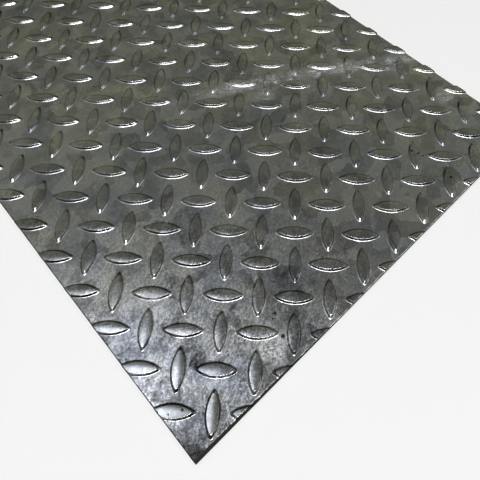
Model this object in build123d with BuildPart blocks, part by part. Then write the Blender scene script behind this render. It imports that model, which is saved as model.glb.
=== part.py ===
"""Checker plate: one rolled steel plate with crossed, lens-shaped lugs on its upper face.

X runs across the plate, Y along it and Z up. The origin is at the middle of the underside.
Sizes are in millimetres and angles in degrees.
"""

import os
from math import ceil, floor

from build123d import *

# The plate
PLATE_WIDTH = 300.0
PLATE_LENGTH = 400.0
PLATE_THICKNESS = 3.0

# One lug: its foot is a lens between two equal arcs, and its flanks lean in by the draft.
# An even number of chords follows each arc, few enough to keep 300 lugs light.
LUG_LENGTH = 23.2
LUG_WIDTH = 7.8
LUG_HEIGHT = 1.5
LUG_DRAFT = 40.0
ARC_CHORDS = 4

# The pattern: lugs that fall to the right stand in a square grid, and those that rise in its middles
LUG_PITCH = 29.24
LUG_TURN = 45.0

# Where the shears cut the pattern: a line of falling lugs, from the left and from the near edge
COLUMN_INSET = 6.1
ROW_INSET = -2.8


def grid_lines(inset, size):
    """First line of a grid, and how many lines of it carry lugs that can meet a plate of that size."""
    reach = LUG_LENGTH / 2
    lowest = ceil((-reach - inset) / LUG_PITCH)
    highest = floor((size + reach - inset) / LUG_PITCH)
    return inset + lowest * LUG_PITCH - size / 2, highest - lowest + 1


with BuildLine() as lug_arc:
    ThreePointArc((-LUG_LENGTH / 2, 0), (0, -LUG_WIDTH / 2), (LUG_LENGTH / 2, 0))
chord_ends = [lug_arc.line @ (step / ARC_CHORDS) for step in range(ARC_CHORDS + 1)]

with BuildPart() as lug:
    with BuildSketch():
        with BuildLine():
            Polyline(*chord_ends)
            mirror(about=Plane.XZ)
        make_face()
    extrude(amount=LUG_HEIGHT, taper=LUG_DRAFT)

# The sheared edges cut through the lugs that stand across them
with BuildPart() as lugs:
    for shift, turn in ((0, -LUG_TURN), (LUG_PITCH / 2, LUG_TURN)):
        x, columns = grid_lines(COLUMN_INSET + shift, PLATE_WIDTH)
        y, rows = grid_lines(ROW_INSET + shift, PLATE_LENGTH)
        with Locations((x, y, PLATE_THICKNESS)):
            with GridLocations(LUG_PITCH, LUG_PITCH, columns, rows, align=(Align.MIN, Align.MIN)):
                add(lug.part, rotation=(0, 0, turn))
    with BuildSketch():
        Rectangle(PLATE_WIDTH, PLATE_LENGTH)
    extrude(amount=PLATE_THICKNESS + LUG_HEIGHT, mode=Mode.INTERSECT)

with BuildPart() as checker_plate:
    with BuildSketch():
        Rectangle(PLATE_WIDTH, PLATE_LENGTH)
    extrude(amount=PLATE_THICKNESS)
    add(lugs.part)

checker_plate.part.label = "checker_plate"
os.makedirs("parts", exist_ok=True)
export_step(checker_plate.part, "parts/checker_plate.step")
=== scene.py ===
"""Looks of the checker plate: its rolled and sheared surface, its finish, floor, light and camera."""

from math import acos, cos, pi, radians, sin, sqrt, tan

import bmesh
import bpy
import numpy as np
from mathutils import Euler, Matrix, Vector


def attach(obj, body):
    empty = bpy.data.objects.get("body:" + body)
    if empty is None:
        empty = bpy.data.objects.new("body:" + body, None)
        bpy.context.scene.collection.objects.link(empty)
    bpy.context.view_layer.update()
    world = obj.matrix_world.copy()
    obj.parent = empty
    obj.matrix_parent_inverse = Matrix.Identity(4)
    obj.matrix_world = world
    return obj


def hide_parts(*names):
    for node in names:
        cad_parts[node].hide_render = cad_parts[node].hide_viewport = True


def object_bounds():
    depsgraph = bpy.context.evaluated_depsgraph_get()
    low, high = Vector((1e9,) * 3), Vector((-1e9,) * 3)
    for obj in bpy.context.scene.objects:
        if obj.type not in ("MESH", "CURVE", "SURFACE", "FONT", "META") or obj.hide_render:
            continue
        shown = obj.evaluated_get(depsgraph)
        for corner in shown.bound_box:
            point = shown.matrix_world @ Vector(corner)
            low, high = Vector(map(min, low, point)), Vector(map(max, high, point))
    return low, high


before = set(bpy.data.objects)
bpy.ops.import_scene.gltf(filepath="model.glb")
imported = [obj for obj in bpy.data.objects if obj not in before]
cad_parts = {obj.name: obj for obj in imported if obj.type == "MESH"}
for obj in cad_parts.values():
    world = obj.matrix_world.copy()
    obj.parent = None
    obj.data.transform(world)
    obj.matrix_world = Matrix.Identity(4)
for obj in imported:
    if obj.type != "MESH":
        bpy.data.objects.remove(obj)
cad_low, cad_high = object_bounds()

MM = 0.001
SEED = 20

# The plate, from the frame, in millimetres
HALF_WIDTH = cad_high.x / MM
HALF_LENGTH = cad_high.y / MM
TOTAL_HEIGHT = cad_high.z / MM
PLATE_THICKNESS = 3.0

# How far the rolled face lies under the full thickness, so that its waves stay within it
FACE_SINK = 0.09

# The waves of the rolled face: the length and height of each kind in millimetres, how many of a kind,
# and how far their lengths differ
WAVES = ((90, 0.05), (34, 0.018), (15, 0.006))
WAVES_OF_A_KIND = 5
WAVE_SPREAD = (0.75, 1.3)

# One lug and the pattern, in millimetres
LUG_LENGTH = 23.2
LUG_WIDTH = 7.8
LUG_PITCH = 29.24
LUG_TURN = radians(45)
COLUMN_INSET = 6.1
ROW_INSET = -2.8
SPACING = LUG_PITCH / sqrt(2)

# The lug's flank: its slope, how far inside the foot it starts, is full, eases and ends, and in how many
# steps its height is added up
FLANK_SLOPE = 1.05
FLANK_INSETS = (-0.72, -0.1, 0.67, 0.86)
FLANK_STEPS = 200

# The dome on a lug: its height, the power by which it falls to the sides, and how far the tips are blended
CROWN_HEIGHT = 0.29
CROWN_ROUNDING = 2.0
TIP_ROUNDING = 2.0

# The lens between two arcs that a lug's foot makes, drawn longer for what the blend takes off its tips
ROUNDED_LENGTH = LUG_LENGTH + 0.8
ARC_RADIUS = (ROUNDED_LENGTH ** 2 + LUG_WIDTH ** 2) / (4 * LUG_WIDTH)
ARC_OFFSET = ARC_RADIUS - LUG_WIDTH / 2

# How far lugs differ: spreads of their turn, size and place, and the most that one is lower
TURN_SPREAD = radians(0.5)
SIZE_SPREAD = 0.012
PLACE_SPREAD = 0.12
MOST_LOWER = 0.06

# The lug that the shears crushed at the corner, and how much of its height is left
CRUSHED_LUG = (COLUMN_INSET - HALF_WIDTH, ROW_INSET - HALF_LENGTH)
CRUSHED_HEIGHT = 0.12

# The mesh round one lug: loops by their inset from the foot, then loops inside the crown by their width,
# and how often a point on a loop is halved in on
AROUND = 24
FOOT_LOOPS = (-1.4, -0.74, -0.51, -0.29, -0.08, 0.3, 0.66, 0.87, 1.45)
CROWN_LOOPS = (0.66, 0.33)
CROWN_LINE = 0.8
HALVINGS = 40

# The outline of a lug's cell: how far it bulges past the tips, and its points by their share of a quarter
CELL_REACH = 0.685
CELL_STEPS = (0.0, 0.3, 0.64, 1.0)

# How near points are merged, and how near a cut a point counts as lying on it
MERGE_REACH = 0.005
CUT_REACH = 0.01


def smooth_min(first, second, blend):
    """The lesser of two values, with the corner between them rounded."""
    share = np.clip(0.5 + 0.5 * (second - first) / blend, 0, 1)
    return second * (1 - share) + first * share - blend * share * (1 - share)


def flank_profile():
    """Insets from the foot, and the height of the flank at each."""
    inset = np.linspace(FLANK_INSETS[0], FLANK_INSETS[-1], FLANK_STEPS)
    slope = FLANK_SLOPE * np.interp(inset, FLANK_INSETS, (0, 1, 1, 0))
    step = inset[1] - inset[0]
    height = np.concatenate([[0], np.cumsum((slope[1:] + slope[:-1]) / 2 * step)])
    return inset, height


PROFILE_INSET, PROFILE_HEIGHT = flank_profile()


def lug_inset(along, across):
    """How far a place lies inside the foot of the lug, and inside each of its two arcs."""
    far_arc = ARC_RADIUS - np.hypot(along, across + ARC_OFFSET)
    near_arc = ARC_RADIUS - np.hypot(along, across - ARC_OFFSET)
    return smooth_min(far_arc, near_arc, TIP_ROUNDING), far_arc, near_arc


def lug_height(along, across):
    """Height of the rolled surface at a place given from the middle of a lug."""
    inset, far_arc, near_arc = lug_inset(along, across)
    flank = np.interp(inset, PROFILE_INSET, PROFILE_HEIGHT)
    width = np.clip((far_arc + near_arc) / 2, 0.001, None)
    aside = np.clip(np.abs(far_arc - near_arc) / 2 / width, 0, 1)
    return flank + CROWN_HEIGHT * width / (LUG_WIDTH / 2) * (1 - aside ** CROWN_ROUNDING)


def slopes(height, x, y, step=0.02):
    """How fast a height changes along x and along y."""
    return np.column_stack([(height(x + step, y) - height(x - step, y)) / (2 * step),
                            (height(x, y + step) - height(x, y - step)) / (2 * step)])


def lens_loop(inset):
    """Points round the lug at one inset, found on rays that leave a line along its middle."""
    radius = ARC_RADIUS - inset
    tip = acos(ARC_OFFSET / radius)
    number = np.arange(AROUND)
    turn = tip * np.cos(2 * pi * number / AROUND)
    side = np.where(number <= AROUND // 2, 1, -1)
    sharp = np.column_stack([radius * np.sin(turn), side * (radius * np.cos(turn) - ARC_OFFSET)])
    middle = sharp * (CROWN_LINE, 0)
    inner, outer = np.zeros(AROUND), np.full(AROUND, 1.5)
    for _ in range(HALVINGS):
        share = (inner + outer) / 2
        along, across = (middle + (sharp - middle) * share[:, None]).T
        within = lug_inset(along, across)[0] > inset
        inner, outer = np.where(within, share, inner), np.where(within, outer, share)
    return middle + (sharp - middle) * inner[:, None]


def cell_loop():
    """Points round the cell of a lug, which bulges past its tips and gives way at its sides."""
    bulges = [(CELL_REACH - 0.5) * (1 + cos(pi * step)) / 2 for step in CELL_STEPS]
    quarter = [(0.5 + bulge, step / 2) for step, bulge in zip(CELL_STEPS, bulges)]
    quarter += [(step / 2, 0.5 - bulge) for step, bulge in zip(CELL_STEPS[-2::-1], bulges[-2::-1])]
    half = quarter + [(-x, y) for x, y in quarter[-2::-1]]
    return SPACING * np.array(half + [(x, -y) for x, y in half[-2:0:-1]])


def cell_template():
    """Vertices of one cell in the lug's own frame, how far each follows its lug, and the faces."""
    loops = [cell_loop()] + [lens_loop(inset) for inset in FOOT_LOOPS]
    crown = loops[-1]
    for share in CROWN_LOOPS:
        loops.append(crown * (CROWN_LINE + (1 - CROWN_LINE) * share, share))
    line = crown[: AROUND // 2 + 1] * (CROWN_LINE, 0)
    follow = np.concatenate([np.full(AROUND, 0.0), np.full(AROUND, 0.5),
                             np.full(AROUND * (len(loops) - 2) + len(line), 1.0)])
    faces = []
    for number in range(len(loops) - 1):
        for k in range(AROUND):
            a, b = number * AROUND + k, number * AROUND + (k + 1) % AROUND
            faces.append((a, b, b + AROUND, a + AROUND))
    last, base = (len(loops) - 1) * AROUND, len(loops) * AROUND
    for k in range(AROUND):
        a, b = k, (k + 1) % AROUND
        on_line = [base + min(x, AROUND - x) for x in (a, b)]
        faces.append((last + a, last + b, on_line[1], on_line[0]))
    return np.vstack(loops + [line]), follow, np.array(faces)


def wave_field(rng):
    """The shallow waves of the rolled face: their directions, phases and heights."""
    waves = []
    for length, height in WAVES:
        for _ in range(WAVES_OF_A_KIND):
            angle, phase = rng.uniform(0, 2 * pi, 2)
            reach = length * rng.uniform(*WAVE_SPREAD)
            waves.append((2 * pi * cos(angle) / reach, 2 * pi * sin(angle) / reach, phase,
                          height / sqrt(WAVES_OF_A_KIND)))
    return waves


def waviness(x, y, waves):
    """How far the rolled face lies off the flat, in millimetres."""
    return sum(height * np.sin(kx * x + ky * y + phase) for kx, ky, phase, height in waves)


def lug_centres():
    """Middle and turn of each lug whose cell meets the plate."""
    centres = []
    for shift, turn in ((0, -LUG_TURN), (LUG_PITCH / 2, LUG_TURN)):
        first_x = COLUMN_INSET + shift - HALF_WIDTH
        first_y = ROW_INSET + shift - HALF_LENGTH
        for x in np.arange(first_x - 2 * LUG_PITCH, HALF_WIDTH + LUG_PITCH, LUG_PITCH):
            for y in np.arange(first_y - 2 * LUG_PITCH, HALF_LENGTH + LUG_PITCH, LUG_PITCH):
                if abs(x) < HALF_WIDTH + SPACING and abs(y) < HALF_LENGTH + SPACING:
                    centres.append((x, y, turn))
    return centres


def rolled_face(rng):
    """Vertices, slopes and faces of the upper face, before it is cut to size."""
    template, follow, cell_faces = cell_template()
    height = lug_height(template[:, 0], template[:, 1])
    slope = slopes(lug_height, template[:, 0], template[:, 1])
    points, tilts, faces = [], [], []
    for number, (x, y, turn) in enumerate(lug_centres()):
        lean = rng.normal(0, TURN_SPREAD)
        grow = rng.normal(0, SIZE_SPREAD, 2)
        drift = rng.normal(0, PLACE_SPREAD, 2)
        tall = 1 - MOST_LOWER * rng.random()
        if np.hypot(x - CRUSHED_LUG[0], y - CRUSHED_LUG[1]) < 1:
            tall = CRUSHED_HEIGHT
        angle = turn + lean * follow
        stretched = template * (1 + np.outer(follow, grow))
        along, across = stretched.T
        place_x = x + along * np.cos(angle) - across * np.sin(angle) + drift[0] * follow
        place_y = y + along * np.sin(angle) + across * np.cos(angle) + drift[1] * follow
        tilt_x = slope[:, 0] * np.cos(angle) - slope[:, 1] * np.sin(angle)
        tilt_y = slope[:, 0] * np.sin(angle) + slope[:, 1] * np.cos(angle)
        faces.append(cell_faces + number * len(template))
        points.append(np.column_stack([place_x, place_y, height * tall]))
        tilts.append(np.column_stack([tilt_x, tilt_y, np.zeros(len(height))]) * tall)
    return np.vstack(points), np.vstack(tilts), np.vstack(faces)


# The sheared edges: how wide and deep the rolled face rolls over at each, and how sharply
ROLLOVER = {"left": (0.55, 0.24, 2.0), "right": (1.0, 0.35, 2.0),
            "near": (1.0, 0.42, 2.0), "far": (1.0, 0.35, 2.0)}

# What the near edge has more of towards the corner where the shears began, how far that reaches, and how
# sharply it fades
CORNER_ROLLOVER = (1.2, 0.9, -0.85)
CORNER_REACH = 105.0
CORNER_FADING = 1.5

# Rows of points along the edges, by how far they lie in
ROLLOVER_ROWS = {"left": (0.25, 0.55), "right": (0.5, 1.0), "near": (0.3, 0.7, 1.15, 2.2), "far": (0.5, 1.0)}

# Going down a sheared side: height, and how far it lies in from the outline
SIDE_ROWS = ((1.2, 0.0), (0.5, 0.1), (0.15, 0.14), (0.0, 0.3))


def rollover(x, y):
    """How far the rolled face drops towards the sheared edges."""
    drop = 0
    extra = np.clip(1 - (x + HALF_WIDTH) / CORNER_REACH, 0, 1) ** CORNER_FADING
    distances = {"left": x + HALF_WIDTH, "right": HALF_WIDTH - x,
                 "near": y + HALF_LENGTH, "far": HALF_LENGTH - y}
    for name, distance in distances.items():
        width, depth, power = ROLLOVER[name]
        if name == "near":
            width = width + CORNER_ROLLOVER[0] * extra
            depth = depth + CORNER_ROLLOVER[1] * extra
            power = power + CORNER_ROLLOVER[2] * extra
        drop = drop + depth * np.clip(1 - distance / width, 0, 1) ** power
    return drop


def cut(bm, place, normal, clear):
    """Cuts the mesh along an upright plane, and drops what lies outside it if asked."""
    bmesh.ops.bisect_plane(bm, geom=bm.verts[:] + bm.edges[:] + bm.faces[:], dist=CUT_REACH,
                           plane_co=place, plane_no=normal, clear_outer=clear)


def outline_planes():
    """The four upright planes of the plate's outline, with how far each lies out."""
    return {"left": (Vector((-1, 0, 0)), HALF_WIDTH), "right": (Vector((1, 0, 0)), HALF_WIDTH),
            "near": (Vector((0, -1, 0)), HALF_LENGTH), "far": (Vector((0, 1, 0)), HALF_LENGTH)}


def sheared_sides(bm):
    """Walls down from the rim of the rolled face, and the underside."""
    rim = [e for e in bm.edges if e.is_boundary]
    for height, inset in SIDE_ROWS:
        made = bmesh.ops.extrude_edge_only(bm, edges=rim)["geom"]
        rim = [e for e in made if isinstance(e, bmesh.types.BMEdge)]
        width, length = HALF_WIDTH - inset, HALF_LENGTH - inset
        for vert in {v for e in rim for v in e.verts}:
            vert.co = (min(max(vert.co.x, -width), width), min(max(vert.co.y, -length), length), height)
        for face in (f for f in made if isinstance(f, bmesh.types.BMFace)):
            face.material_index = 1
        rim = [e for e in rim if e.is_boundary]
    underside = bmesh.ops.contextual_create(bm, geom=rim)["faces"]
    bmesh.ops.triangulate(bm, faces=underside)


def set_normals(mesh, surface):
    """Gives the rolled face the normals of its formulas, so that thin highlights stay smooth."""
    count = len(mesh.vertices)
    place, slope = np.empty(count * 3), np.empty(count * 3)
    mesh.vertices.foreach_get("co", place)
    mesh.attributes["slope"].data.foreach_get("vector", slope)
    x, y = place.reshape(-1, 3)[:, 0] / MM, place.reshape(-1, 3)[:, 1] / MM
    tilt = slope.reshape(-1, 3)[:, :2] + slopes(surface, x, y)
    normal = np.column_stack([-tilt, np.ones(count)])
    normal /= np.linalg.norm(normal, axis=1)[:, None]
    corner, size, first = (np.empty(n, dtype=np.int32) for n in
                           (len(mesh.loops), len(mesh.polygons), len(mesh.polygons)))
    mesh.loops.foreach_get("vertex_index", corner)
    mesh.polygons.foreach_get("loop_total", size)
    mesh.polygons.foreach_get("loop_start", first)
    facing = np.empty(len(mesh.polygons) * 3)
    mesh.polygons.foreach_get("normal", facing)
    part = np.empty(len(mesh.polygons), dtype=np.int32)
    mesh.polygons.foreach_get("material_index", part)
    rolled = (facing.reshape(-1, 3)[:, 2] > 0) & (part == 0)
    keep = np.repeat(rolled[np.argsort(first)], size[np.argsort(first)])
    mesh.normals_split_custom_set(normal[corner] * keep[:, None])
    mesh.attributes.remove(mesh.attributes["slope"])


# The layout of the map, as shares of its square: its margin, how long each part is drawn, the widths of
# the rolled face, of the underside and of a side's strip, and where the four strips stand
MAP_MARGIN = 0.01
MAP_LENGTH = 0.98
MAP_FACE_WIDTH = 0.69
MAP_UNDERSIDE_WIDTH = 0.2
MAP_STRIP_WIDTH = 0.005
MAP_STRIPS = (0.72, 0.735, 0.75, 0.765)


def set_map(mesh):
    """A flat map: the rolled face in most of the square, the sides and the underside in strips beside it."""
    layer = mesh.uv_layers.new(name="OFBake")
    for face in mesh.polygons:
        for loop in face.loop_indices:
            x, y, z = mesh.vertices[mesh.loops[loop].vertex_index].co / MM
            across, along = x / HALF_WIDTH / 2 + 0.5, y / HALF_LENGTH / 2 + 0.5
            strip = MAP_STRIP_WIDTH * z / PLATE_THICKNESS
            if face.material_index == 0 and face.normal.z > 0:
                spot = (MAP_MARGIN + MAP_FACE_WIDTH * across, MAP_MARGIN + MAP_LENGTH * along)
            elif face.material_index == 0:
                spot = (1 - MAP_MARGIN - MAP_UNDERSIDE_WIDTH * across, MAP_MARGIN + MAP_LENGTH * along)
            elif abs(face.normal.x) > abs(face.normal.y):
                spot = (MAP_STRIPS[int(x > 0)] + strip, MAP_MARGIN + MAP_LENGTH * along)
            else:
                spot = (MAP_STRIPS[2 + int(y > 0)] + strip, MAP_MARGIN + MAP_LENGTH * across)
            layer.data[loop].uv = spot


def plate_mesh():
    """The whole plate as one closed mesh."""
    rng = np.random.default_rng(SEED)
    points, tilts, faces = rolled_face(rng)
    mesh = bpy.data.meshes.new("checker_steel_plate")
    mesh.from_pydata(points.tolist(), [], faces.tolist())
    mesh.attributes.new("slope", "FLOAT_VECTOR", "POINT").data.foreach_set("vector", tilts.ravel())
    bm = bmesh.new()
    bm.from_mesh(mesh)
    bmesh.ops.remove_doubles(bm, verts=bm.verts[:], dist=MERGE_REACH)
    for name, (normal, reach) in outline_planes().items():
        cut(bm, normal * reach, normal, True)
        for row in ROLLOVER_ROWS[name]:
            cut(bm, normal * (reach - row), normal, False)

    waves = wave_field(rng)

    def surface(x, y):
        return waviness(x, y, waves) - rollover(x, y)

    place = np.array([v.co for v in bm.verts])
    level = PLATE_THICKNESS - FACE_SINK + place[:, 2] + surface(place[:, 0], place[:, 1])
    for vert, z in zip(bm.verts, np.minimum(level, TOTAL_HEIGHT)):
        vert.co.z = z
    for face in bm.faces:
        face.smooth = True
    sheared_sides(bm)
    bmesh.ops.recalc_face_normals(bm, faces=bm.faces[:])
    bmesh.ops.scale(bm, vec=(MM, MM, MM), verts=bm.verts[:])
    bm.to_mesh(mesh)
    bm.free()
    set_normals(mesh, surface)
    set_map(mesh)
    return mesh


class Nodes:
    """Short ways to add and link the nodes of one tree. Sizes are in millimetres."""

    def __init__(self, tree):
        self.tree = tree

    def add(self, kind, **settings):
        node = self.tree.nodes.new("ShaderNode" + kind)
        for name, value in settings.items():
            setattr(node, name, value)
        return node

    def put(self, node, socket, value):
        target = node.inputs[socket]
        if isinstance(value, bpy.types.NodeSocket):
            self.tree.links.new(value, target)
        else:
            target.default_value = value

    def split(self, vector):
        """The three parts of a vector, by the names of their axes."""
        node = self.add("SeparateXYZ")
        self.put(node, 0, vector)
        return node.outputs

    def math(self, operation, first, second=0.0, third=None, clamp=False):
        node = self.add("Math", operation=operation, use_clamp=clamp)
        self.put(node, 0, first)
        self.put(node, 1, second)
        if third is not None:
            self.put(node, 2, third)
        return node.outputs[0]

    def noise(self, place, size, detail=3.0, rough=0.55, distort=0.0):
        node = self.add("TexNoise")
        for socket, value in (("Vector", place), ("Scale", 1 / (size * MM)), ("Detail", detail),
                              ("Roughness", rough), ("Distortion", distort)):
            self.put(node, socket, value)
        return node.outputs["Fac"]

    def spread(self, value, low, high, to_low=0.0, to_high=1.0, smooth=False):
        """The value carried over from one range to another, and held at its ends."""
        node = self.add("MapRange", interpolation_type="SMOOTHSTEP" if smooth else "LINEAR")
        for number, item in enumerate((value, low, high, to_low, to_high)):
            self.put(node, number, item)
        return node.outputs[0]

    def over(self, length, span, to_low=0.0, to_high=1.0, smooth=False):
        """The same for a length, with its range in millimetres."""
        return self.spread(length, span[0] * MM, span[1] * MM, to_low, to_high, smooth)

    def mix(self, share, first, second, kind="MIX"):
        node = self.add("MixRGB", blend_type=kind)
        for number, item in enumerate((share, first, second)):
            self.put(node, number, item)
        return node.outputs[0]

    def distance(self, place, x, y):
        """How far a place lies from an upright line, in metres."""
        flat = self.add("VectorMath", operation="MULTIPLY")
        self.put(flat, 0, place)
        self.put(flat, 1, (1, 1, 0))
        node = self.add("VectorMath", operation="DISTANCE")
        self.put(node, 0, flat.outputs[0])
        self.put(node, 1, (x * MM, y * MM, 0))
        return node.outputs["Value"]

    def towards(self, way, direction, reach, to_low=0.0, to_high=1.0):
        """Spreads from the first to the second angle off a direction."""
        node = self.add("VectorMath", operation="DOT_PRODUCT")
        self.put(node, 0, way)
        self.put(node, 1, Vector(direction).normalized())
        return self.spread(node.outputs["Value"], cos(reach[0]), cos(reach[1]), to_low, to_high, smooth=True)

    def shaken(self, place, size, reach):
        """The same place, pushed about by a noise."""
        node = self.add("TexNoise")
        for socket, value in (("Vector", place), ("Scale", 1 / (size * MM)), ("Detail", 3.0)):
            self.put(node, socket, value)
        push = self.add("VectorMath", operation="MULTIPLY_ADD")
        self.put(push, 0, node.outputs["Color"])
        self.put(push, 1, (2 * reach * MM,) * 3)
        self.put(push, 2, (-reach * MM,) * 3)
        moved = self.add("VectorMath", operation="ADD")
        self.put(moved, 0, place)
        self.put(moved, 1, push.outputs[0])
        return moved.outputs[0]

    def spots(self, place, spots, edge=0.5):
        """One inside any of the round spots, and falling to nothing past their edges."""
        total = 0.0
        for x, y, radius in spots:
            span = (radius * (1 + edge), radius * (1 - edge))
            total = self.math("MAXIMUM", self.over(self.distance(place, x, y), span, smooth=True), total)
        return total

    def scratches(self, place, heading, length, width, low, high):
        """Fine straight lines in one heading, of that length and width."""
        turned = self.add("Mapping", vector_type="TEXTURE")
        self.put(turned, "Vector", place)
        self.put(turned, "Rotation", (0, 0, radians(heading)))
        self.put(turned, "Scale", (length * MM, width * MM, 1))
        node = self.add("TexNoise")
        for socket, value in (("Vector", turned.outputs[0]), ("Scale", 1.0), ("Detail", 2.0)):
            self.put(node, socket, value)
        return self.spread(node.outputs["Fac"], low, high)

    def crossed(self, place, kinds):
        """Scratches of two kinds together."""
        return self.math("MAXIMUM", *(self.scratches(place, *kind) for kind in kinds))

    def bump(self, shader, height, strength, depth):
        node = self.add("Bump")
        self.put(node, "Strength", strength)
        self.put(node, "Distance", depth * MM)
        self.put(node, "Height", height)
        self.put(shader, "Normal", node.outputs[0])


def metal(name):
    """An empty metallic material, with its nodes and its shader."""
    material = bpy.data.materials.new(name)
    material.use_nodes = True
    tree = material.node_tree
    tree.nodes.clear()
    nodes = Nodes(tree)
    shader = nodes.add("BsdfPrincipled")
    output = nodes.add("OutputMaterial")
    tree.links.new(shader.outputs[0], output.inputs[0])
    shader.inputs["Metallic"].default_value = 1.0
    return material, nodes, shader


# Where the plate is marked: a long rubbed band through three places, with the place where it is strongest,
# and round spots by their place and radius
RUBBED_BAND = ((-33.0, -0.3), (41.5, -36.8), (143.7, -94.4))
RUBBED_HEART = (90.0, -62.0)
SCUFFS = ((-84, -184, 8), (36.7, -48.7, 7), (131, -93, 9), (135, -141, 7), (-118, -120, 7))
PITS = ((-70.6, -172.5, 1.1), (-76.2, -184.9, 1.3), (-73.5, -174.0, 0.5), (-139.7, -30.0, 0.6),
        (62.7, -176.8, 0.6), (78.1, -186.9, 1.0), (-146.0, -173.2, 0.4), (-139.5, -176.5, 0.7),
        (75.9, -155.5, 0.9), (77.5, -160.0, 0.8), (79.5, -163.0, 0.7))
CORNER_GRIME = ((-145.5, -197.0, 3.2),)

# Where the marks fade: off the line of the band, from its strongest place, from the near left corner
# for the wear, the clouds, the rubbed crowns and the painted shade at the corner, and in from the left edge
BAND_FADE = (9, 2)
HEART_FADE = (140, 55)
WEAR_FADE = (50, 190)
CLOUD_FADE = (40, 170)
RUBBED_FADE = (60, 150)
CORNER_SHADE_FADE = (8, 46)
LEFT_FADE = (10 - HALF_WIDTH, 65 - HALF_WIDTH)

# The width of the dark line along the near and far edges, at the left end and past the corner's reach,
# and along the other two
LONG_EDGE_DARK = (2.2, 0.4)
SIDE_EDGE_DARK = 0.6

# Noises of the rolled steel: size, detail, roughness and distortion
CLOUDS = (8, 7, 0.64, 0.3)
STAINS = (38, 4, 0.6, 0.5)
WEAR = (30, 3)
PATCHES = (9, 3)
FLECKS = (3.2, 3, 0.62, 1.2)
TATTERS = (2.2, 4, 0.65)
SPECKS = (1.5, 4, 0.7)
GRAIN = (0.55, 2, 0.6)

# What pushes marks about: the size of the noise, and how far it pushes
BLOT_SHAKE = (14, 6)
BRUSHING_SHAKE = (12, 9)
DRAG_SHAKE = (6, 1.0)
SPOT_SHAKE = (3.0, 2.2)
PIT_SHAKE = (0.8, 0.7)
BLOT_SIZE = 10

# Kinds of straight mark: heading in degrees, length, width, and the noise at which a line starts and is full
BRUSHING = (25, 7, 1.3, 0.44, 0.6)
DRAGS = (-29, 10, 0.6, 0.42, 0.58)
STREAKS = ((18, 9, 0.7, 0.52, 0.62), (-42, 7, 0.5, 0.54, 0.63))
LONG_SCRATCHES = ((64, 70, 0.4, 0.66, 0.72), (-33, 45, 0.3, 0.67, 0.73))

# Heights between which the rolled face gives way to a lug, to its flank and to its crown
LUG_LEVELS = (2.98, 3.05)
FLANK_LEVELS = (3.1, 3.22)
CROWN_LEVELS = (4.07, 4.17)

# Colours of the rolled steel, and how light a rubbed crown is
VIOLET_STEEL = (0.55, 0.575, 0.635, 1)
OLIVE_STEEL = (0.57, 0.575, 0.54, 1)
CROWN_STEEL = (0.52, 0.525, 0.515, 1)
SCUFFED_STEEL = (0.9, 0.9, 0.92, 1)
SCRATCHED_STEEL = (0.75, 0.75, 0.76, 1)
GRIME = (0.03, 0.029, 0.026, 1)
RUBBED_TONE = 1.35


def circle_through(first, second, third):
    """Middle and radius of the circle through three places."""
    (ax, ay), (bx, by), (cx, cy) = first, second, third
    cross = 2 * (ax * (by - cy) + bx * (cy - ay) + cx * (ay - by))
    a, b, c = (x * x + y * y for x, y in (first, second, third))
    x = (a * (by - cy) + b * (cy - ay) + c * (ay - by)) / cross
    y = (a * (cx - bx) + b * (ax - cx) + c * (bx - ax)) / cross
    return x, y, sqrt((ax - x) ** 2 + (ay - y) ** 2)


def scuffed(n, place, shaken, specks, streaks):
    """How scuffed the rolled face is: in short drags, along the rubbed band and in round spots."""
    x, y, radius = circle_through(*RUBBED_BAND)
    off_band = n.math("ABSOLUTE", n.math("SUBTRACT", n.distance(shaken, x, y), radius * MM))
    drags = n.math("MULTIPLY_ADD", n.scratches(n.shaken(place, *DRAG_SHAKE), *DRAGS), 0.75, 0.3)
    patchy = n.math("MULTIPLY", n.spread(n.noise(place, *PATCHES), 0.38, 0.55, 0.4, 1.0), drags)
    heart = n.over(n.distance(place, *RUBBED_HEART), HEART_FADE, 0.12, 1.0, smooth=True)
    band = n.math("MULTIPLY", n.over(off_band, BAND_FADE, smooth=True), n.math("MULTIPLY", patchy, heart))
    round_spots = n.math("MULTIPLY", n.spots(shaken, SCUFFS, 0.7), n.math("MULTIPLY", drags, 0.65))
    speckled = n.math("MULTIPLY_ADD", streaks, 0.5, n.spread(specks, 0.4, 0.6, 0.25, 1.0))
    return n.math("MULTIPLY", n.math("MAXIMUM", round_spots, band), speckled, clamp=True)


def darkened(n, place, shaken, specks):
    """Where the rolled face is dark: in its pits, in the grime at the corner, and in a dark line along its
    edges.
    """
    axes = n.split(place)
    pits = n.spots(n.shaken(place, *PIT_SHAKE), PITS, 0.4)
    grime = n.math("MULTIPLY", n.spots(shaken, CORNER_GRIME, 0.5), n.spread(specks, 0.4, 0.6, 0.4, 1.0))
    dark = n.math("MAXIMUM", pits, grime)
    uneven = n.math("MULTIPLY", n.math("SUBTRACT", n.noise(place, *TATTERS), 0.5), 1.8 * MM)
    at_left, at_right = (width * MM for width in LONG_EDGE_DARK)
    long_edge = n.over(axes["X"], (-HALF_WIDTH, CORNER_REACH - HALF_WIDTH), at_left, at_right)
    for axis, reach, width in (("Y", HALF_LENGTH, long_edge), ("X", HALF_WIDTH, SIDE_EDGE_DARK * MM)):
        off = n.math("SUBTRACT", reach * MM, n.math("ABSOLUTE", axes[axis]))
        off = n.math("SUBTRACT", n.math("ADD", off, uneven), width)
        dark = n.math("MAXIMUM", n.over(off, (0.15, -0.15), smooth=True), dark)
    return dark


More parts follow.
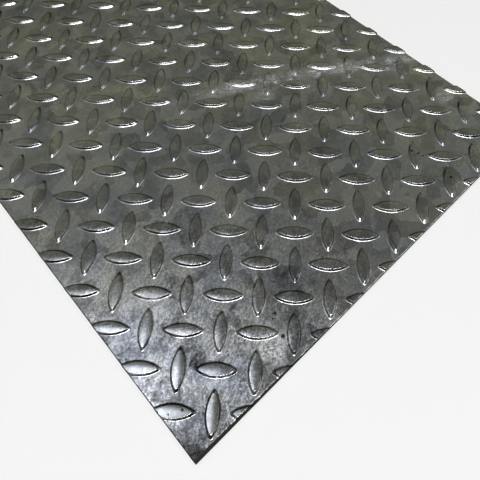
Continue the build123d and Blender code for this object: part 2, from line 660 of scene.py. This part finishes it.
def fine_grain(n, place, specks, grain):
    """The brushed and speckled grain of the rolled face, lighter and darker about one."""
    brushed = n.scratches(n.shaken(place, *BRUSHING_SHAKE), *BRUSHING)
    speckled = n.math("MULTIPLY", n.spread(specks, 0.36, 0.64, 0.55, 1.42),
                      n.spread(grain, 0.3, 0.7, 0.65, 1.35))
    return n.math("MULTIPLY", n.spread(brushed, 0, 1, 0.78, 1.25), speckled)


def blotted(n, place):
    """Stains side by side with crisp outlines, each lighter or darker as a whole."""
    cells = n.add("TexVoronoi")
    n.put(cells, "Vector", n.shaken(place, *BLOT_SHAKE))
    n.put(cells, "Scale", 1 / (BLOT_SIZE * MM))
    one_each = n.add("SeparateColor")
    n.put(one_each, 0, cells.outputs["Color"])
    return n.spread(one_each.outputs[0], 0, 1, -0.45, 0.38)


def toned(n, place, clouds, stains, fine, flank, crown):
    """How light the steel is: cloudy, blotted, with painted shade at the corner and on the flanks, and
    rubbed crowns.
    """
    from_corner = n.distance(place, -HALF_WIDTH, -HALF_LENGTH)
    near = n.over(from_corner, CLOUD_FADE, 1.0, 0.3)
    flecks = n.spread(n.noise(place, *FLECKS), 0.57, 0.61, 0.0, 0.4)
    tone = n.math("ADD", n.spread(clouds, 0.38, 0.62, -0.5, 0.42), flecks)
    tone = n.math("MULTIPLY_ADD", tone, near, 1.0)
    tone = n.math("MULTIPLY_ADD", blotted(n, place), n.math("MULTIPLY_ADD", near, 0.6, 0.4), tone)
    tone = n.math("ADD", tone, n.spread(stains, 0.35, 0.65, -0.1, 0.12))

    worn = n.math("ADD", n.over(from_corner, WEAR_FADE, 1.0, 0.15, smooth=True),
                  n.spread(n.noise(place, *WEAR), 0.5, 0.7, 0.0, 0.45))
    tone = n.math("MULTIPLY", tone, n.math("MULTIPLY_ADD", n.math("SUBTRACT", fine, 1.0), worn, 1.0))
    # Painted shade: the steel is darkened close to the near left corner, standing in for a dark reflection
    # there
    tone = n.math("MULTIPLY", tone, n.over(from_corner, CORNER_SHADE_FADE, 0.28, 1.0))
    # Painted shade: the lugs' flanks are darkened, standing in for the dark room they reflect
    painted_flank_shade = n.math("MULTIPLY", flank, n.spread(clouds, 0.3, 0.6, 0.25, 0.5))
    tone = n.math("MULTIPLY", tone, n.math("SUBTRACT", 1.0, painted_flank_shade))

    rubbed = n.math("MULTIPLY", n.over(from_corner, RUBBED_FADE, 1.0, 0.0),
                    n.over(n.split(place)["X"], LEFT_FADE, 0.65, 0.15))
    rubbed = n.math("MULTIPLY", rubbed, crown)
    return n.math("MULTIPLY_ADD", n.math("SUBTRACT", RUBBED_TONE, tone), rubbed, tone)


def rolled_steel():
    """Bare rolled steel: olive to violet grey, cloudy, scuffed, scratched and pitted, with rubbed crowns."""
    material, n, shader = metal("rolled_steel")
    place = n.add("TexCoord").outputs["Object"]
    height = n.split(place)["Z"]
    crown = n.over(height, CROWN_LEVELS, smooth=True)
    flank = n.math("SUBTRACT", n.over(height, FLANK_LEVELS, smooth=True), crown)
    clouds = n.noise(place, *CLOUDS)
    stains = n.noise(place, *STAINS)
    specks = n.noise(place, *SPECKS)
    grain = n.noise(place, *GRAIN)
    shaken = n.shaken(place, *SPOT_SHAKE)
    streaks = n.crossed(place, STREAKS)
    lines = n.crossed(place, LONG_SCRATCHES)
    scuffs = scuffed(n, place, shaken, specks, streaks)
    dark = darkened(n, place, shaken, specks)

    tint = n.mix(n.spread(stains, 0.38, 0.62), VIOLET_STEEL, OLIVE_STEEL)
    tint = n.mix(n.math("MULTIPLY", crown, 0.6), tint, CROWN_STEEL)
    tone = toned(n, place, clouds, stains, fine_grain(n, place, specks, grain), flank, crown)
    colour = n.mix(1.0, tint, tone, "MULTIPLY")
    colour = n.mix(scuffs, colour, SCUFFED_STEEL)
    colour = n.mix(n.math("MULTIPLY", lines, 0.35), colour, SCRATCHED_STEEL)
    n.put(shader, "Base Color", n.mix(dark, colour, GRIME))

    rough = n.spread(clouds, 0.32, 0.68, 0.36, 0.25)
    rough = n.math("MULTIPLY", rough, n.over(height, LUG_LEVELS, 1.0, 0.7))
    rough = n.math("MULTIPLY_ADD", scuffs, 0.4, rough)
    n.put(shader, "Roughness", n.math("MAXIMUM", rough, n.math("MULTIPLY", dark, 0.6)))

    relief = n.math("MULTIPLY_ADD", grain, 0.25, n.math("MULTIPLY", specks, 0.3))
    relief = n.math("MULTIPLY_ADD", dark, -1.5, relief)
    relief = n.math("MULTIPLY_ADD", streaks, n.math("MULTIPLY", scuffs, 0.5), relief)
    relief = n.math("MULTIPLY_ADD", lines, -0.4, relief)
    n.bump(shader, relief, strength=0.6, depth=0.04)
    return material


# The sheared sides: heights at which the torn part gives way to the drawn one, how far that wanders, the
# noises of each, how much longer than wide the drawn streaks are, and the colours of each
DRAWN_LEVELS = (2.2, 2.6)
WANDER = (6, 3)
WANDER_HEIGHT = 1.2
DRAWN_STREAKS = (0.35, 3, 0.6)
TORN_GRAIN = (0.5, 4, 0.65)
DRAWN_LENGTH = 12.5
DRAWN_STEEL = ((0.2, 0.2, 0.19, 1), (0.42, 0.42, 0.42, 1))
TORN_STEEL = ((0.045, 0.043, 0.04, 1), (0.15, 0.145, 0.135, 1))


def sheared_steel():
    """The sheared edge: drawn bright and streaked under the rim, dark and torn below."""
    material, n, shader = metal("sheared_steel")
    place = n.add("TexCoord").outputs["Object"]
    level = n.math("MULTIPLY_ADD", n.noise(place, *WANDER), WANDER_HEIGHT * MM, n.split(place)["Z"])
    drawn = n.over(level, DRAWN_LEVELS, smooth=True)
    upright = n.add("Mapping")
    n.put(upright, "Vector", place)
    n.put(upright, "Scale", (1, 1, 1 / DRAWN_LENGTH))
    fine = n.noise(upright.outputs[0], *DRAWN_STREAKS)
    torn = n.noise(place, *TORN_GRAIN)
    n.put(shader, "Base Color", n.mix(drawn, n.mix(torn, *TORN_STEEL), n.mix(fine, *DRAWN_STEEL)))
    n.put(shader, "Roughness", n.spread(drawn, 0, 1, 0.62, 0.36))
    n.bump(shader, n.mix(drawn, torn, fine), strength=0.8, depth=0.08)
    return material


# The floor: how far it reaches to each side, in metres, and its colour
FLOOR_REACH = 12.0
FLOOR_COLOUR = (0.97, 0.97, 0.97, 1)


def floor_object():
    """A wide pale floor."""
    mesh = bpy.data.meshes.new("floor")
    corners = [(x * FLOOR_REACH, y * FLOOR_REACH, 0) for x, y in ((-1, -1), (1, -1), (1, 1), (-1, 1))]
    mesh.from_pydata(corners, [], [(0, 1, 2, 3)])
    floor = bpy.data.objects.new("floor", mesh)
    bpy.context.collection.objects.link(floor)
    material = bpy.data.materials.new("floor")
    material.use_nodes = True
    shader = material.node_tree.nodes["Principled BSDF"]
    shader.inputs["Base Color"].default_value = FLOOR_COLOUR
    shader.inputs["Roughness"].default_value = 1.0
    shader.inputs["Specular IOR Level"].default_value = 0.0
    mesh.materials.append(material)


# The strip softbox: how far it lies off straight up and which way, its distance in metres, half its length
# and width as angles, and its brightness
SOFTBOX_LEAN = radians(33)
SOFTBOX_HEADING = radians(235)
SOFTBOX_DISTANCE = 5.0
SOFTBOX_SPREAD = (radians(24), radians(4.6))
SOFTBOX_RADIANCE = 19.5


def softbox():
    """The lamp, turned to face the plate."""
    way = Vector((sin(SOFTBOX_LEAN) * cos(SOFTBOX_HEADING), sin(SOFTBOX_LEAN) * sin(SOFTBOX_HEADING),
                  cos(SOFTBOX_LEAN)))
    data = bpy.data.lights.new("softbox", "AREA")
    data.shape = "RECTANGLE"
    data.size, data.size_y = (2 * SOFTBOX_DISTANCE * tan(half) for half in SOFTBOX_SPREAD)
    data.energy = SOFTBOX_RADIANCE * pi * data.size * data.size_y
    lamp = bpy.data.objects.new("softbox", data)
    lamp.location = way * SOFTBOX_DISTANCE
    lamp.rotation_euler = way.to_track_quat("Z", "Y").to_euler()
    bpy.context.collection.objects.link(lamp)


# The room by height: how high each level is, from level to straight up, and its colour
ROOM = ((0.0, (0.006, 0.006, 0.006, 1)), (0.33, (0.010, 0.010, 0.009, 1)), (0.5, (0.09, 0.09, 0.072, 1)),
        (0.62, (0.2, 0.203, 0.14, 1)), (0.76, (0.16, 0.162, 0.125, 1)), (0.88, (0.115, 0.115, 0.1, 1)),
        (1.0, (0.11, 0.11, 0.105, 1)))

# The dark side of the room, behind the camera: the direction to it, the angles off that between which it
# sets in, and what is left of the light
SHADE = ((-0.7, -0.7, 0.35), (radians(60), radians(32)), 0.08)

# The pale parts of the room: the direction to each, the angles off that between which it sets in,
# and its colour
GLOWS = (((-0.2, 0.209, 0.957), (radians(15), radians(4.5)), (1.78, 1.85, 2.04, 1)),
         ((0.48, -0.48, 0.73), (radians(17), radians(7)), (1.35, 1.37, 1.4, 1)),
         ((-0.44, 0.44, 0.78), (radians(12), radians(5)), (1.4, 1.42, 1.45, 1)),
         ((0.92, -0.5, 0.2), (radians(65), radians(30)), (0.19, 0.192, 0.17, 1)),
         ((-1, 1, 0.25), (radians(60), radians(25)), (0.18, 0.182, 0.16, 1)))
BLACK = (0, 0, 0, 1)


def studio_world():
    """A dim room: dark low down and olive grey above, with one dark side and pale parts."""
    world = bpy.data.worlds.new("studio")
    world.use_nodes = True
    tree = world.node_tree
    n = Nodes(tree)
    way = n.add("TexCoord").outputs["Generated"]
    ramp = n.add("ValToRGB")
    n.put(ramp, 0, n.split(way)["Z"])
    elements = ramp.color_ramp.elements
    elements[0].position, elements[0].color = ROOM[0]
    elements[1].position, elements[1].color = ROOM[-1]
    for position, colour in ROOM[1:-1]:
        elements.new(position).color = colour
    side, reach, left = SHADE
    light = n.mix(1.0, ramp.outputs["Color"], n.towards(way, side, reach, 1.0, left), "MULTIPLY")
    for side, reach, colour in GLOWS:
        light = n.mix(1.0, light, n.mix(n.towards(way, side, reach), BLACK, colour), "LIGHTEN")
    n.put(tree.nodes["Background"], "Color", light)
    bpy.context.scene.world = world


# The camera, in millimetres and degrees, and how far its frame is shifted
CAMERA_PLACE = (-121.9, -219.9, 258.2)
CAMERA_TURNS = (29.34, -0.92, -43.45)
FOCAL_PIXELS = 450.95
IMAGE_PIXELS = 480
CAMERA_SHIFT = (-0.0708, -0.0833)


def camera():
    """The camera at the photo's viewing angle."""
    data = bpy.data.cameras.new("camera")
    data.lens = FOCAL_PIXELS / IMAGE_PIXELS * data.sensor_width
    data.shift_x, data.shift_y = CAMERA_SHIFT
    data.clip_start = 0.01
    data.clip_end = 100
    view = bpy.data.objects.new("camera", data)
    view.location = Vector(CAMERA_PLACE) * MM
    view.rotation_euler = Euler([radians(turn) for turn in CAMERA_TURNS])
    bpy.context.collection.objects.link(view)
    bpy.context.scene.camera = view


def plate_object():
    """The plate with its two metals, riding on the root and standing for the solid."""
    plate = bpy.data.objects.new("checker_steel_plate", plate_mesh())
    bpy.context.collection.objects.link(plate)
    plate.data.materials.append(rolled_steel())
    plate.data.materials.append(sheared_steel())
    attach(plate, "root")
    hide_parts("checker_plate")


camera()
plate_object()
floor_object()
softbox()
studio_world()
bpy.context.scene.view_settings.view_transform = "Standard"
